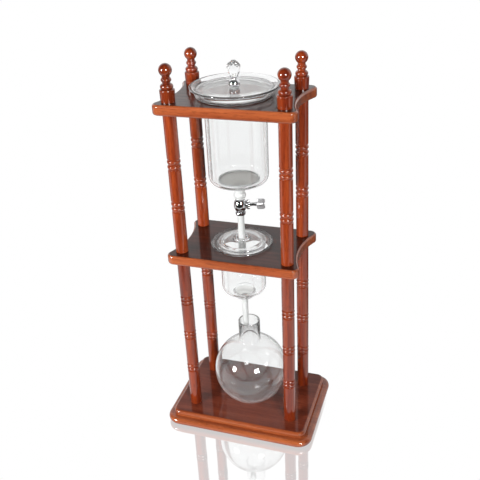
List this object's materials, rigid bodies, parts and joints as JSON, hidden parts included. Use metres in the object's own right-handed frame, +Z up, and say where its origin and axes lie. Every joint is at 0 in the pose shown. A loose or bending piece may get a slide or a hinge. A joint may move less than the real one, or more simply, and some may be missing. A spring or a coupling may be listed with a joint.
{
  "type": "cold drip coffee tower",
  "caption": "Wooden tower that drips cold water from a glass vessel through a chrome tap and a coffee chamber into a round glass flask.",
  "frame": {"origin": "on the table, under the middle of the base", "axes": "+Z up, +X to the right as seen from the front, front faces -Y"},
  "size_m": [0.241, 0.173, 0.5864],
  "materials": {
    "post_wood": "turned hardwood, red-brown stain under glossy clear lacquer",
    "shelf_wood": "hardwood board, dark red-brown stain under mirror-smooth clear lacquer",
    "base_wood": "moulded hardwood, red-brown stain under glossy clear lacquer",
    "pad_rubber": "matt black pad",
    "steel": "zinc-plated steel",
    "clear_glass": "clear borosilicate glass",
    "crystal": "cut clear crystal",
    "chrome": "polished chrome plate",
    "silicone": "translucent milky silicone",
    "mesh": "very fine woven stainless mesh",
    "ceramic": "porous white ceramic"
  },
  "bodies": {
    "frame": {"base_plate": "base_wood", "base_feet": "pad_rubber", "base_screws": "steel", "lower_post_front_left": "post_wood", "lower_post_front_right": "post_wood", "lower_post_back_left": "post_wood", "lower_post_back_right": "post_wood", "middle_shelf": "shelf_wood", "middle_studs": "steel", "upper_post_front_left": "post_wood", "upper_post_front_right": "post_wood", "upper_post_back_left": "post_wood", "upper_post_back_right": "post_wood", "top_shelf": "shelf_wood", "top_studs": "steel", "finial_front_left": "post_wood", "finial_front_right": "post_wood", "finial_back_left": "post_wood", "finial_back_right": "post_wood"},
    "water_vessel": {"water_vessel": "clear_glass", "strainer_mesh": "mesh", "strainer_ring": "silicone", "vessel_coupler": "silicone", "tap_body": "chrome", "tap_packing": "silicone", "tap_gland_nut": "chrome", "tap_nozzle_nut": "chrome", "drip_tube": "silicone"},
    "tap_handle": {"tap_spindle": "chrome", "tap_wing": "chrome", "tap_wing_pin": "steel"},
    "top_lid": {"top_lid": "clear_glass", "knob_bell": "chrome", "knob_crystal": "crystal", "knob_screw": "steel", "knob_washers": "silicone"},
    "coffee_chamber": {"coffee_chamber": "clear_glass", "chamber_lip": "clear_glass", "chamber_seat": "clear_glass", "ceramic_filter": "ceramic", "filter_gasket": "silicone", "outlet_tube": "silicone"},
    "chamber_lid": {"chamber_lid": "clear_glass", "chamber_lid_skirt": "clear_glass", "chamber_lid_collar": "clear_glass"},
    "flask": {"flask_ball": "clear_glass", "flask_neck": "clear_glass"}
  },
  "joints": [
    {"name": "water_vessel_lift", "type": "slide", "parent": "frame", "child": "water_vessel", "axis": [0, 0, 1], "range_m": [0, 0.255]},
    {"name": "top_lid_lift", "type": "slide", "parent": "water_vessel", "child": "top_lid", "axis": [0, 0, 1], "range_m": [0, 0.1]},
    {"name": "tap_turn", "type": "hinge", "parent": "water_vessel", "child": "tap_handle", "pos_m": [-0.0015, 0, 0.3716], "axis": [0.9397, 0.342, 0], "range_deg": [0, 90]},
    {"name": "chamber_lift", "type": "slide", "parent": "frame", "child": "coffee_chamber", "axis": [0, 0, 1], "range_m": [0, 0.015]},
    {"name": "chamber_lid_lift", "type": "slide", "parent": "coffee_chamber", "child": "chamber_lid", "axis": [0, 0, 1], "range_m": [0, 0.015]},
    {"name": "flask_lift", "type": "slide", "parent": "frame", "child": "flask", "axis": [0, 0, 1], "range_m": [0, 0.04]}
  ]
}
